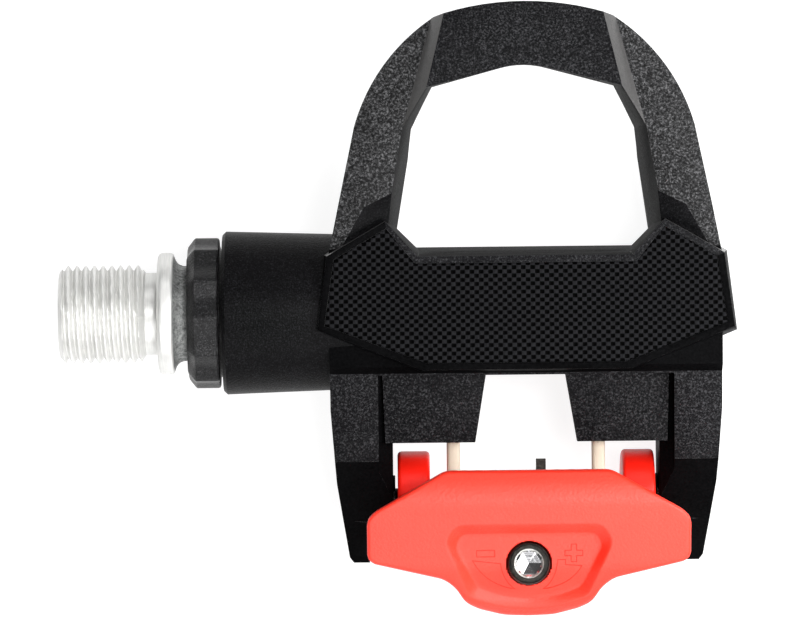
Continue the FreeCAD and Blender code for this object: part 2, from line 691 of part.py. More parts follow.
for side, hand in SIDES:
    ear = sketch_on(latch, "ear_" + side, "YZ_Plane")
    draw_loop(ear, [
        ("pivot_y + ear_rad", "pivot_z"),
        ("via", "pivot_y + 0.7071 * ear_rad", "pivot_z + 0.7071 * ear_rad"),
        ("pivot_y + 1", "pivot_z + 0.9908 * ear_rad"), ("-26.5", "latch_top - 3"), ("-33", "13.5"),
        ("-36.6", "11.8"), ("-36.6", "6"), ("pivot_y - ear_rad", "pivot_z"),
        ("via", "pivot_y", "pivot_z - ear_rad"),
    ])
    draw_circle(ear, "pivot_y", "pivot_z", "pin_rad + 1.02")
    reach = ("ear_in", "ear_out") if hand > 0 else ("-ear_out", "-ear_in")
    pad(latch, ear, *reach)
boss = sketch_on(latch, "insert_boss", "XY_Plane")
draw_circle(boss, "0", "screw_y", "5")
pad(latch, boss, "7.2", "latch_top - 4.6")
insert_hole = sketch_on(latch, "insert_hole", "XY_Plane")
draw_circle(insert_hole, "0", "screw_y", "head_rad + 0.5")
cut_through(latch, insert_hole)

bush_in = size("pin_rad + 0.03")
bush_out = size("pin_rad + 1")
bush_tubes = []
for start in (size("ear_in"), -size("ear_out")):
    bush_tubes.append(tube_shape(bush_in, bush_out, size("ear_out - ear_in"), Vector(start, 0, 0)))
bushings = computed("latch_bushings", Part.Compound(bush_tubes))
bushings.Placement = Placement(Vector(size("centre_x"), size("pivot_y"), size("pivot_z")), Rotation())

# Tension screw with its threaded insert and the plate it pushes down.
screw = new_body("tension_screw")
screw.setExpression("Placement.Base.x", bound("centre_x"))
screw.setExpression("Placement.Base.y", bound("screw_y"))
shank = sketch_on(screw, "screw_shank", "XY_Plane")
draw_circle(shank, "0", "0", "screw_rad - 0.02")
pad(screw, shank, "plate_high + 0.05", "12")
head = sketch_on(screw, "screw_head", "XY_Plane")
draw_circle(head, "0", "0", "head_rad")
pad(screw, head, "11.6", "latch_top - 3.8")
hex_socket = sketch_on(screw, "screw_socket", "XY_Plane", "latch_top - 3.8")
draw_loop(hex_socket, hexagon("screw_key / sqrt(3)"))
cut_span(screw, hex_socket, "2")
insert = new_body("screw_insert")
insert.setExpression("Placement.Base.x", bound("centre_x"))
insert.setExpression("Placement.Base.y", bound("screw_y"))
insert_sketch = sketch_on(insert, "insert_outline", "XY_Plane")
draw_circle(insert_sketch, "0", "0", "screw_rad + 0.02")
draw_circle(insert_sketch, "0", "0", "head_rad + 0.49")
pad(insert, insert_sketch, "7.3", "11.3")
plate = new_body("tension_plate")
plate.setExpression("Placement.Base.x", bound("centre_x"))
plate_sketch = sketch_on(plate, "plate_outline", "XY_Plane")
draw_loop(plate_sketch, [
    ("-7.5", "-39.6"), ("7.5", "-39.6"), ("7.5", "-33.4"), ("2.8", "-33.4"), ("2.8", "claw_y + 1.3"),
    ("1.4", "claw_y + 1.3"), ("1.4", "-33.4"), ("-7.5", "-33.4"),
])
pad(plate, plate_sketch, "plate_low", "plate_high")

doc.recompute()
NODES = [o for o in doc.Objects if o.TypeId == "PartDesign::Body"]
NODES += [o for o in doc.Objects if o.TypeId in ("Part::Feature", "Part::Torus", "Part::Cylinder")]
os.makedirs("parts", exist_ok=True)
for node in doc.Objects:
    if "Invalid" in node.State or "Error" in node.State:
        raise RuntimeError("%s does not build: %s" % (node.Name, node.State))
for node in NODES:
    if node.Shape.isNull() or not node.Shape.isValid() or not node.Shape.Solids:
        raise RuntimeError("%s has no valid solid" % node.Name)
    node.Label = node.Name
    node.Shape.exportStep("parts/%s.step" % node.Name)
    box = node.Shape.optimalBoundingBox()
    print("%-24s solids %2d  x %6.2f %6.2f  y %6.2f %6.2f  z %6.2f %6.2f" % (
        node.Name, len(node.Shape.Solids), box.XMin, box.XMax, box.YMin, box.YMax, box.ZMin, box.ZMax))
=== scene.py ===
import math

import bmesh
import bpy
import numpy as np
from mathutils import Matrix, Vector


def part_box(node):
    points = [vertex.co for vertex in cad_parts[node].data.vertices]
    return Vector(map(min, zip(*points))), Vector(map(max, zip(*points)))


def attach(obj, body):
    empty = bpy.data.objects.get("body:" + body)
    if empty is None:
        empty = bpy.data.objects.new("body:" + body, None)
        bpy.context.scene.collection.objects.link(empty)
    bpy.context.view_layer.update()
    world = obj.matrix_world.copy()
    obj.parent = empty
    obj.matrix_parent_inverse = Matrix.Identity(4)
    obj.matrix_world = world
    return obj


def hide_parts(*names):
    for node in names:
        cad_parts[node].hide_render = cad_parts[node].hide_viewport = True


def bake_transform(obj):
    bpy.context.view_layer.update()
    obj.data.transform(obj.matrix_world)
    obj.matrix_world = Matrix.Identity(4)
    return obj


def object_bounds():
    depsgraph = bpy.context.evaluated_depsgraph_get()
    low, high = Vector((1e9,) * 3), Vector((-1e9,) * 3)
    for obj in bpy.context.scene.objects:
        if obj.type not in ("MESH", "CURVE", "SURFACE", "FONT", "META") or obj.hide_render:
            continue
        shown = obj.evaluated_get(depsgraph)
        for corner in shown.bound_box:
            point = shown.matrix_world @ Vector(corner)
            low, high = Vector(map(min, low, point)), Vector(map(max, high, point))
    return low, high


# Clipless road pedal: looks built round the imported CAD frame. Metres, +X away from the crank,
# +Y to the nose, +Z up through the tread.

MM = 0.001
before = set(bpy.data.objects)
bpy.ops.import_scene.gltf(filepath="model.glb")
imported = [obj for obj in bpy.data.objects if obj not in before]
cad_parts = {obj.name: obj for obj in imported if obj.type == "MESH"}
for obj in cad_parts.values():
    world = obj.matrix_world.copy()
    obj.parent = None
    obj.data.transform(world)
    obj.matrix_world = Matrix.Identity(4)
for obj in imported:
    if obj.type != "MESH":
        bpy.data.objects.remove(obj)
cad_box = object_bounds()

spindle_lo, spindle_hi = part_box("spindle")
tread_lo, tread_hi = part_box("tread_plate")
latch_lo, latch_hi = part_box("latch")
screw_lo, screw_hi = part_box("tension_screw")
pin_lo, pin_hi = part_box("pivot_pin")
CENTRE_X = (tread_lo.x + tread_hi.x) / 2
PIVOT = (pin_lo + pin_hi) / 2
CAD_WELD = 0.004 * MM
FINE_WELD = 0.002 * MM


# ---------------------------------------------------------------- node materials

def new_material(name):
    """Empty node material with its shader, object coordinates and node tree."""
    mat = bpy.data.materials.new(name)
    mat.use_nodes = True
    tree = mat.node_tree
    shader = tree.nodes["Principled BSDF"]
    coords = tree.nodes.new("ShaderNodeTexCoord").outputs["Object"]
    return mat, tree, shader, coords


def noise(tree, coords, size, detail=3.0, roughness=0.55, stretch=None):
    """Noise whose features are about size metres across."""
    if stretch is not None:
        mapping = tree.nodes.new("ShaderNodeMapping")
        mapping.inputs["Scale"].default_value = stretch
        tree.links.new(coords, mapping.inputs["Vector"])
        coords = mapping.outputs["Vector"]
    node = tree.nodes.new("ShaderNodeTexNoise")
    node.inputs["Scale"].default_value = 1.0 / size
    node.inputs["Detail"].default_value = detail
    node.inputs["Roughness"].default_value = roughness
    tree.links.new(coords, node.inputs["Vector"])
    return node.outputs["Fac"]


def cells(tree, coords, size):
    """Distance to the nearest of the random points that lie about size metres apart."""
    node = tree.nodes.new("ShaderNodeTexVoronoi")
    node.inputs["Scale"].default_value = 1.0 / size
    tree.links.new(coords, node.inputs["Vector"])
    return node.outputs["Distance"]


def ramp(tree, factor, *stops):
    """Colour ramp from (position, (r, g, b)) stops."""
    node = tree.nodes.new("ShaderNodeValToRGB")
    marks = node.color_ramp.elements
    while len(marks) < len(stops):
        marks.new(0.5)
    for mark, (place, colour) in zip(marks, stops):
        mark.position = place
        mark.color = (*colour, 1)
    tree.links.new(factor, node.inputs["Fac"])
    return node.outputs["Color"]


def spread(tree, factor, low, high, start=0.0, stop=1.0):
    """Value that goes from low to high as factor goes from start to stop."""
    node = tree.nodes.new("ShaderNodeMapRange")
    node.inputs["From Min"].default_value = start
    node.inputs["From Max"].default_value = stop
    node.inputs["To Min"].default_value = low
    node.inputs["To Max"].default_value = high
    tree.links.new(factor, node.inputs["Value"])
    return node.outputs["Result"]


def maths(tree, operation, first, second=None):
    """Math node on one or two values, each a number or a socket."""
    node = tree.nodes.new("ShaderNodeMath")
    node.operation = operation
    for socket, value in zip(node.inputs, (first, second)):
        if value is None:
            continue
        if isinstance(value, (int, float)):
            socket.default_value = value
        else:
            tree.links.new(value, socket)
    return node.outputs["Value"]


def total(tree, *parts):
    """Sum of sockets."""
    made = parts[0]
    for part in parts[1:]:
        made = maths(tree, "ADD", made, part)
    return made


def bump(tree, shader, *layers):
    """Stacked bumps, each (height socket, depth in metres)."""
    normal = None
    for height, depth in layers:
        node = tree.nodes.new("ShaderNodeBump")
        node.inputs["Distance"].default_value = depth
        node.inputs["Strength"].default_value = 1.0
        tree.links.new(height, node.inputs["Height"])
        if normal is not None:
            tree.links.new(normal, node.inputs["Normal"])
        normal = node.outputs["Normal"]
    tree.links.new(normal, shader.inputs["Normal"])


def moulded_plastic(name, dark, light, grain, grain_depth, rough=(0.42, 0.6), specular=0.5):
    """Injection-moulded nylon: fine erosion grain, flow mottling and rubbed patches."""
    mat, tree, shader, coords = new_material(name)
    fine = noise(tree, coords, grain, detail=4, roughness=0.7)
    pits = cells(tree, coords, grain * 1.6)
    cloud = noise(tree, coords, 0.012, detail=2)
    tone = total(tree, spread(tree, fine, 0, 0.7, 0.3, 0.75), spread(tree, cloud, 0, 0.3, 0.3, 0.7))
    tree.links.new(ramp(tree, tone, (0.15, dark), (0.95, light)), shader.inputs["Base Color"])
    tree.links.new(spread(tree, fine, rough[1], rough[0], 0.3, 0.7), shader.inputs["Roughness"])
    shader.inputs["Specular IOR Level"].default_value = specular
    bump(tree, shader, (fine, grain_depth), (pits, grain_depth * 0.6), (cloud, 0.00003))
    return mat


def turned_metal(name, dark, light, rough=(0.2, 0.36), ring=0.00012, axis="X", metallic=1.0):
    """Steel cut on a lathe: fine rings across the axis, smears and faint handling marks."""
    mat, tree, shader, coords = new_material(name)
    stretch = {"X": (1, 0.04, 0.04), "Z": (0.04, 0.04, 1)}[axis]
    rings = noise(tree, coords, ring, detail=2, stretch=stretch)
    smear = noise(tree, coords, 0.004, detail=4)
    tone = total(tree, spread(tree, rings, 0, 0.5, 0.3, 0.7), spread(tree, smear, 0, 0.5, 0.3, 0.7))
    tree.links.new(ramp(tree, tone, (0.1, dark), (0.9, light)), shader.inputs["Base Color"])
    tree.links.new(spread(tree, smear, rough[0], rough[1], 0.3, 0.7), shader.inputs["Roughness"])
    shader.inputs["Metallic"].default_value = metallic
    bump(tree, shader, (rings, 0.000012), (smear, 0.00001))
    return mat


def rough_metal(name, dark, light, rough=(0.45, 0.7), metallic=0.9):
    """Steel left as forged or blackened, with small pits."""
    mat, tree, shader, coords = new_material(name)
    pits = noise(tree, coords, 0.0005, detail=6, roughness=0.75)
    patches = noise(tree, coords, 0.003, detail=3)
    tone = total(tree, spread(tree, pits, 0, 0.6, 0.35, 0.65), spread(tree, patches, 0, 0.4, 0.3, 0.7))
    tree.links.new(ramp(tree, tone, (0.1, dark), (0.95, light)), shader.inputs["Base Color"])
    tree.links.new(spread(tree, pits, rough[1], rough[0], 0.3, 0.7), shader.inputs["Roughness"])
    shader.inputs["Metallic"].default_value = metallic
    bump(tree, shader, (pits, 0.0001))
    return mat


def speckled_plastic(name, dark, mid, light, grain, depth, rough=0.55, specular=0.35):
    """Spark-eroded moulding surface: crisp pale specks over a dark ground."""
    mat, tree, shader, coords = new_material(name)
    fine = noise(tree, coords, grain, detail=3, roughness=0.8)
    coarse = noise(tree, coords, grain * 3.0, detail=2)
    cloud = noise(tree, coords, 0.009, detail=2)
    tone = total(tree, spread(tree, fine, -0.12, 0.95, 0.38, 0.66),
                 spread(tree, coarse, -0.1, 0.1, 0.3, 0.7), spread(tree, cloud, -0.07, 0.07, 0.3, 0.7))
    tree.links.new(ramp(tree, tone, (0.05, dark), (0.5, mid), (0.95, light)), shader.inputs["Base Color"])
    tree.links.new(spread(tree, fine, rough + 0.08, rough - 0.08, 0.3, 0.7), shader.inputs["Roughness"])
    shader.inputs["Specular IOR Level"].default_value = specular
    bump(tree, shader, (fine, depth), (cells(tree, coords, grain * 1.5), depth * 0.6))
    return mat


nylon_grain = speckled_plastic("black_nylon_grain", (0.003, 0.003, 0.003), (0.038, 0.038, 0.039),
                               (0.16, 0.16, 0.165), 0.00034, 0.00006, specular=0.13)
# Darker, slightly finer speckle: painted shade on the low tabs between the rails and on the bridge, also laid
# on the flat top at the heel.
nylon_fine_painted_shade = speckled_plastic("black_nylon_fine_painted_shade", (0.001, 0.001, 0.0015), (0.009, 0.009, 0.0098),
                              (0.040, 0.040, 0.043), 0.00030, 0.00004, specular=0.06)
# Near-black smooth nylon with almost no sheen for walls, slopes, the frame rim and the beam: a real smooth
# finish, its darkness on walls and slopes partly painted shade.
nylon_smooth_painted_shade = moulded_plastic("black_nylon_smooth_painted_shade", (0.0006, 0.0006, 0.0007), (0.0042, 0.0042, 0.0046),
                               0.00035, 0.00002, rough=(0.4, 0.55), specular=0.01)
nylon_boss = speckled_plastic("black_nylon_boss", (0.0006, 0.0006, 0.0008), (0.0026, 0.0026, 0.003),
                              (0.014, 0.014, 0.0155), 0.00022, 0.00004, rough=0.4, specular=0.055)
# Paler base than the other black nylon: painted reflection on the nose's crease facets, the frame's slopes
# and the beam's front wall, over their real gloss.
nylon_facet_painted_reflection = moulded_plastic("black_nylon_facet_painted_reflection", (0.045, 0.044, 0.044), (0.085, 0.083, 0.082),
                              0.0004, 0.00002, rough=(0.26, 0.34), specular=0.7)
nylon_arm = speckled_plastic("black_nylon_arm", (0.003, 0.003, 0.003), (0.025, 0.025, 0.026),
                             (0.105, 0.105, 0.108), 0.00034, 0.00006, specular=0.1)
# Light grey speckle for the chamfers at the heel end of the rails: painted highlight of light caught on the
# chamfer.
nylon_bevel_painted_highlight = speckled_plastic("black_nylon_bevel_painted_highlight", (0.06, 0.06, 0.06), (0.22, 0.22, 0.22),
                              (0.42, 0.42, 0.42), 0.00024, 0.00005, specular=0.4)
ring_nylon = speckled_plastic("lockring_nylon", (0.001, 0.001, 0.0012), (0.006, 0.006, 0.0066),
                              (0.055, 0.055, 0.057), 0.00022, 0.00005, rough=0.3, specular=0.2)
red_nylon = moulded_plastic("red_nylon", (0.94, 0.024, 0.007), (1.0, 0.034, 0.012), 0.00026, 0.00004,
                            rough=(0.42, 0.56), specular=0.56)
red_gloss = moulded_plastic("red_nylon_ears", (0.96, 0.012, 0.005), (1.0, 0.018, 0.008), 0.0003, 0.00002,
                            rough=(0.3, 0.42), specular=0.3)
# Darker red with little sheen for the moulded marks: painted shade of their grooves.
red_line_painted_shade = moulded_plastic("red_nylon_lines_painted_shade", (0.86, 0.022, 0.012), (0.92, 0.030, 0.018), 0.0003, 0.00001,
                           rough=(0.5, 0.6), specular=0.1)
thread_steel = turned_metal("thread_steel", (0.60, 0.60, 0.585), (0.80, 0.80, 0.78), rough=(0.34, 0.5),
                            metallic=0.55)
cone_steel = rough_metal("cone_steel", (0.03, 0.033, 0.034), (0.52, 0.53, 0.52), metallic=0.5)
bearing_steel = turned_metal("bearing_steel", (0.5, 0.5, 0.51), (0.78, 0.78, 0.79), rough=(0.12, 0.25))
# Pale cream and barely metallic: the plated wire's bright reflection painted into its colour.
spring_steel = turned_metal("spring_steel", (0.60, 0.53, 0.41), (0.68, 0.62, 0.50), rough=(0.5, 0.65),
                            ring=0.0004, metallic=0.05)
screw_steel = rough_metal("black_oxide", (0.004, 0.004, 0.004), (0.035, 0.032, 0.028), rough=(0.25, 0.45))
socket_steel = turned_metal("socket_steel", (0.36, 0.36, 0.37), (0.52, 0.52, 0.53), rough=(0.14, 0.2),
                            axis="Z")
socket_edge = rough_metal("socket_edge_steel", (0.10, 0.095, 0.09), (0.65, 0.65, 0.62), rough=(0.3, 0.4))
seal_rubber = moulded_plastic("seal_rubber", (0.008, 0.008, 0.008), (0.025, 0.025, 0.025), 0.0004, 0.00004,
                              rough=(0.6, 0.8))
cage_nylon = moulded_plastic("cage_nylon", (0.35, 0.26, 0.12), (0.55, 0.44, 0.24), 0.0004, 0.00003)


# ---------------------------------------------------------------- mesh helpers

def new_piece(name, bm, body, materials, replaces=(), slot=None, smooth=True):
    """Mesh object from a bmesh, riding on a CAD body unless body is None."""
    bmesh.ops.recalc_face_normals(bm, faces=bm.faces)
    mesh = bpy.data.meshes.new(name)
    bm.to_mesh(mesh)
    bm.free()
    piece = bpy.data.objects.new(name, mesh)
    bpy.context.scene.collection.objects.link(piece)
    for mat in materials:
        mesh.materials.append(mat)
    if smooth:
        mesh.polygons.foreach_set("use_smooth", [True] * len(mesh.polygons))
    if body:
        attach(piece, body)
    if replaces:
        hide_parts(*replaces)
    return piece


def apply_modifiers(piece):
    """Bakes the piece's modifiers into its mesh."""
    graph = bpy.context.evaluated_depsgraph_get()
    made = bpy.data.meshes.new_from_object(piece.evaluated_get(graph))
    old = piece.data
    piece.modifiers.clear()
    piece.data = made
    bpy.data.meshes.remove(old)


def round_edges(piece, width, angle):
    """Rounds every edge sharper than angle."""
    bevel = piece.modifiers.new("rounding", "BEVEL")
    bevel.width = width
    bevel.segments = 3
    bevel.limit_method = "ANGLE"
    bevel.angle_limit = math.radians(angle)
    bevel.harden_normals = False
    bevel.use_clamp_overlap = True
    apply_modifiers(piece)
    smooth_by_angle(piece)


def smooth_by_angle(piece, angle=32):
    """Smooth shading that breaks at edges sharper than angle."""
    mesh = piece.data
    bm = bmesh.new()
    bm.from_mesh(mesh)
    for face in bm.faces:
        face.smooth = True
    for edge in bm.edges:
        edge.smooth = not (len(edge.link_faces) == 2 and edge.calc_face_angle(0) > math.radians(angle))
    bm.to_mesh(mesh)
    bm.free()


def softened_copy(node, name, body, materials, width, slot, pick, angle):
    """Detailed stand-in for a CAD node: its own shape, edges rounded, each face's material chosen by pick."""
    bm = bmesh.new()
    bm.from_mesh(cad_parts[node].data)
    bmesh.ops.remove_doubles(bm, verts=bm.verts, dist=CAD_WELD)
    bmesh.ops.dissolve_limit(bm, angle_limit=math.radians(0.6), verts=bm.verts, edges=bm.edges)
    piece = new_piece(name, bm, body, materials, replaces=(node,), slot=slot)
    round_edges(piece, width, angle)
    for face in piece.data.polygons:
        face.material_index = pick(face)


def prism(name, foot, head, body, materials, width, **keep):
    """Solid between two matching rings of points, its edges rounded."""
    bm = bmesh.new()
    low = [bm.verts.new(p) for p in foot]
    high = [bm.verts.new(p) for p in head]
    count = len(low)
    bm.faces.new(low)
    bm.faces.new(list(reversed(high)))
    for i in range(count):
        bm.faces.new((low[i], high[i], high[(i + 1) % count], low[(i + 1) % count]))
    piece = new_piece(name, bm, body, materials, **keep)
    round_edges(piece, width, 40)


def loft_rings(bm, rings, close_start=True, close_end=True):
    """Joins rings of points, all with the same count, into a tube; returns its faces by ring."""
    made = [[bm.verts.new(p) for p in ring] for ring in rings]
    count = len(made[0])
    strips = []
    for low, high in zip(made, made[1:]):
        strips.append([bm.faces.new((low[i], low[(i + 1) % count], high[(i + 1) % count], high[i]))
                       for i in range(count)])
    if close_start:
        bm.faces.new(list(reversed(made[0])))
    if close_end:
        bm.faces.new(made[-1])
    return strips


def inside(points, outline):
    """Which (x, y) points lie within a closed outline."""
    x, y = points[..., 0], points[..., 1]
    hit = np.zeros(x.shape, bool)
    for (ax, ay), (bx, by) in zip(outline, np.roll(outline, -1, axis=0)):
        if ay == by:
            continue
        crosses = ((ay > y) != (by > y)) & (x < (bx - ax) * (y - ay) / (by - ay) + ax)
        hit ^= crosses
    return hit


def edge_distance(points, outline):
    """Distance from points to a closed outline, positive within it."""
    best = np.full(points.shape[:-1], 1e9)
    for a, b in zip(outline, np.roll(outline, -1, axis=0)):
        d = b - a
        t = np.clip(((points - a) @ d) / (d @ d), 0, 1)[..., None]
        best = np.minimum(best, np.linalg.norm(points - a - t * d, axis=-1))
    return np.where(inside(points, outline), best, -best)


def curve_point(start, via, stop, t):
    """Point at share t of the curve from start to stop that leans to via."""
    return tuple((1 - t) ** 2 * a + 2 * t * (1 - t) * b + t * t * c for a, b, c in zip(start, via, stop))


def rounded(outline, radius, steps=6):
    """The outline with each corner turned into an arc."""
    made = []
    count = len(outline)
    for i in range(count):
        before, here, after = (np.array(outline[(i + k) % count], float) for k in (-1, 0, 1))
        u, v = before - here, after - here
        reach_u, reach_v = np.linalg.norm(u), np.linalg.norm(v)
        cut = min(radius, 0.45 * reach_u, 0.45 * reach_v)
        start, stop = here + u / reach_u * cut, here + v / reach_v * cut
        made += [curve_point(start, here, stop, k / steps) for k in range(steps + 1)]
    return np.array(made)


def span_at(outline, x):
    """Lowest and highest y of a closed outline at each x."""
    low = np.full(len(x), 1e9)
    high = np.full(len(x), -1e9)
    for (ax, ay), (bx, by) in zip(outline, np.roll(outline, -1, axis=0)):
        if ax == bx:
            continue
        within = (x >= min(ax, bx) - 1e-9) & (x <= max(ax, bx) + 1e-9)
        y = ay + (by - ay) * (x - ax) / (bx - ax)
        low = np.where(within, np.minimum(low, y), low)
        high = np.where(within, np.maximum(high, y), high)
    return low, high


def relief_panel(name, outline, step, top, under, body, materials, **keep):
    """Closed panel over an outline: a fine grid whose top and underside heights are functions."""
    x = np.linspace(outline[:, 0].min(), outline[:, 0].max(), int(np.ptp(outline[:, 0]) / step[0]) + 1)
    y = np.linspace(outline[:, 1].min(), outline[:, 1].max(), int(np.ptp(outline[:, 1]) / step[1]) + 1)
    low, high = span_at(outline, x)
    grid = np.stack(np.meshgrid(x, y, indexing="ij"), axis=-1)
    grid[..., 1] = np.clip(grid[..., 1], low[:, None], high[:, None])
    depth = np.maximum(edge_distance(grid, outline), 0)
    bm = bmesh.new()
    sheets = []
    for height in (top(grid, depth), under(grid, depth)):
        points = np.concatenate([grid, height[..., None]], axis=-1)
        sheets.append([[bm.verts.new(p) for p in row] for row in points])
    nx, ny = len(x), len(y)
    for sheet in sheets:
        for i in range(nx - 1):
            for j in range(ny - 1):
                bm.faces.new((sheet[i][j], sheet[i + 1][j], sheet[i + 1][j + 1], sheet[i][j + 1]))
    rim = [(i, 0) for i in range(nx)] + [(nx - 1, j) for j in range(1, ny)]
    rim += [(i, ny - 1) for i in range(nx - 2, -1, -1)] + [(0, j) for j in range(ny - 2, 0, -1)]
    for (a, b), (c, d) in zip(rim, rim[1:] + rim[:1]):
        bm.faces.new((sheets[0][a][b], sheets[0][c][d], sheets[1][c][d], sheets[1][a][b]))
    bmesh.ops.remove_doubles(bm, verts=bm.verts, dist=FINE_WELD)
    bmesh.ops.dissolve_degenerate(bm, edges=bm.edges, dist=0.000001)
    smooth_by_angle(new_piece(name, bm, body, materials, **keep), 50)


# ---------------------------------------------------------------- spindle with its helical thread

THREAD_START = spindle_lo.x
PITCH = 1.27 * MM
CREST = 7.14 * MM
ROOT = 6.38 * MM
COLLAR_X = THREAD_START + 14.4 * MM
RELIEF_X = COLLAR_X - 1.8 * MM
RELIEF = 6.0 * MM
COLLAR = spindle_hi.z
SEAL_LAND = 6.85 * MM
NEEDLE_TRACK = 6.0 * MM
WAIST = 4.3 * MM
RACE_SEAT = 3.5 * MM
NUT_END = 3.0 * MM
AROUND = 144


def thread_radius(x, turn):
    """Radius of the right-hand thread at x and a share of a turn about +X."""
    phase = ((x - THREAD_START) / PITCH - turn) % 1.0
    ramped = min(max((abs(2 * phase - 1) - 0.12) / 0.72, 0.0), 1.0)
    radius = ROOT + (CREST - ROOT) * ramped
    lead_in = ROOT - 0.15 * MM + (x - THREAD_START) * 1.1
    run_out = RELIEF + max(RELIEF_X - x, 0) * 1.3
    return min(radius, lead_in, run_out)


def circle_x(x, radius, count=AROUND):
    """Ring of points about the spindle axis; radius may vary with the share of a turn."""
    points = []
    for i in range(count):
        share = i / count
        r = radius(share) if callable(radius) else radius
        points.append((x, r * math.cos(2 * math.pi * share), r * math.sin(2 * math.pi * share)))
    return points


def hexagon(flat_half, turned=0.0):
    """Radius of a hexagon with flats that far from its centre, by share of a turn."""
    def radius(share):
        along = (6 * (share + turned) + 0.5) % 1.0 - 0.5
        return flat_half / math.cos(along * math.pi / 3)
    return radius


def fillet(x0, r0, x1, r1, bulge, steps=5):
    """Stations along a rounded corner from one (x, radius) to another."""
    via = ((x0 + x1) / 2 + bulge[0], (r0 + r1) / 2 + bulge[1])
    return [curve_point((x0, r0), via, (x1, r1), k / steps) for k in range(steps + 1)]


def from_collar(*stations):
    """Stations along the spindle from (millimetres behind the collar's front face, radius in metres)."""
    return [(COLLAR_X + x * MM, r) for x, r in stations]


def spindle_piece():
    """Spindle in one turned skin: key socket, helical thread, undercut, collar, rough cone and shaft."""
    key_depth = 9 * MM
    key = hexagon(4 * MM)
    rings = [circle_x(THREAD_START + key_depth + 1.6 * MM, 0.4 * MM),
             circle_x(THREAD_START + key_depth, 3.4 * MM),
             circle_x(THREAD_START + key_depth - 0.1 * MM, key),
             circle_x(THREAD_START + 0.9 * MM, key),
             circle_x(THREAD_START + 0.25 * MM, 4.85 * MM),
             circle_x(THREAD_START, 5.1 * MM),
             circle_x(THREAD_START, ROOT - 0.35 * MM)]
    stations = int((RELIEF_X - THREAD_START) / (0.075 * MM))
    for i in range(1, stations + 1):
        x = THREAD_START + (RELIEF_X - THREAD_START) * i / stations
        rings.append(circle_x(x, lambda share, x=x: thread_radius(x, share)))
    smooth_from = len(rings)
    body = [(RELIEF_X + 0.15 * MM, RELIEF), (COLLAR_X - 0.35 * MM, RELIEF)]
    body += fillet(COLLAR_X - 0.35 * MM, RELIEF, COLLAR_X, RELIEF + 0.35 * MM, (0.17 * MM, -0.17 * MM))
    body += fillet(COLLAR_X, COLLAR - 0.8 * MM, COLLAR_X + 0.8 * MM, COLLAR, (-0.38 * MM, 0.38 * MM))
    body += fillet(COLLAR_X + 1.7 * MM, COLLAR, COLLAR_X + 2.3 * MM, COLLAR - 0.5 * MM,
                   (0.28 * MM, 0.22 * MM))
    cone_from = smooth_from + len(body)
    body += from_collar((2.5, COLLAR - 1.05 * MM), (2.75, COLLAR - 1.45 * MM), (3.1, COLLAR - 1.75 * MM),
                        (3.6, COLLAR - 1.93 * MM), (4.2, SEAL_LAND + 0.08 * MM))
    cone_to = smooth_from + len(body)
    body += from_collar((4.4, SEAL_LAND), (10.6, SEAL_LAND), (11.6, NEEDLE_TRACK), (23.8, NEEDLE_TRACK),
                        (27.2, WAIST), (62, WAIST), (62.02, RACE_SEAT), (67, RACE_SEAT), (67.02, NUT_END))
    body += [(spindle_hi.x - 0.5 * MM, NUT_END), (spindle_hi.x, NUT_END - 0.5 * MM)]
    rings += [circle_x(x, r) for x, r in body]
    bm = bmesh.new()
    strips = loft_rings(bm, rings)
    for strip in strips[cone_from - 1:cone_to]:
        for face in strip:
            face.material_index = 1
    piece = new_piece("spindle_threaded", bm, "spindle", [thread_steel, cone_steel],
                      replaces=("spindle",), slot="machined_steel")
    smooth_by_angle(piece, 40)


spindle_piece()


# ---------------------------------------------------------------- lockring

ring_lo, ring_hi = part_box("lockring")
RING = 11.0 * MM
SCALLOP = 0.32 * MM


def ring_outline(shrink):
    """Radius of the lockring's twelve hollowed flats by share of a turn, drawn in by shrink."""
    def radius(share):
        along = (share * 12 - 3.5 / 30) % 1.0
        flat = RING * math.cos(math.radians(15)) / math.cos(math.radians(30 * along - 15))
        return flat - SCALLOP * math.sin(math.pi * along) ** 2 - shrink
    return radius


def scalloped_lockring():
    """Lockring: twelve hollowed flats, a sleeve towards the body and a groove for the seal."""
    start, end = ring_lo.x, ring_lo.x + 4.7 * MM
    bore = 7.2 * MM
    sleeve = 9.35 * MM
    groove = bore + 0.85 * MM
    stations = [(start + 0.25 * MM, bore), (start, bore + 0.25 * MM), (start, ring_outline(1.75 * MM)),
                (start + 0.12 * MM, ring_outline(1.3 * MM)), (start + 0.95 * MM, ring_outline(0.22 * MM)),
                (start + 1.2 * MM, ring_outline(0)), (end - 0.35 * MM, ring_outline(0)),
                (end - 0.1 * MM, ring_outline(0.12 * MM)), (end, ring_outline(0.4 * MM)), (end, sleeve),
                (ring_hi.x - 0.4 * MM, sleeve), (ring_hi.x, sleeve - 0.4 * MM), (ring_hi.x, bore),
                (end - 0.6 * MM, bore), (end - 0.6 * MM, groove), (start + 1.0 * MM, groove),
                (start + 1.0 * MM, bore), (start + 0.25 * MM, bore)]
    bm = bmesh.new()
    loft_rings(bm, [circle_x(x, r, 360) for x, r in stations], close_start=False, close_end=False)
    bmesh.ops.remove_doubles(bm, verts=bm.verts, dist=FINE_WELD)
    piece = new_piece("lockring_scalloped", bm, "pedal", [ring_nylon],
                      replaces=("lockring",), slot="lockring_nylon")
    smooth_by_angle(piece, 24)


scalloped_lockring()


# ---------------------------------------------------------------- pedal body

BODY_FINISHES = [nylon_grain, nylon_fine_painted_shade, nylon_smooth_painted_shade, nylon_boss, nylon_facet_painted_reflection, nylon_bevel_painted_highlight, nylon_arm]
GRAIN, FINE, SMOOTH_PAINTED_SHADE, BOSS, FACET_PAINTED_REFLECTION, BEVEL, ARM = range(len(BODY_FINISHES))


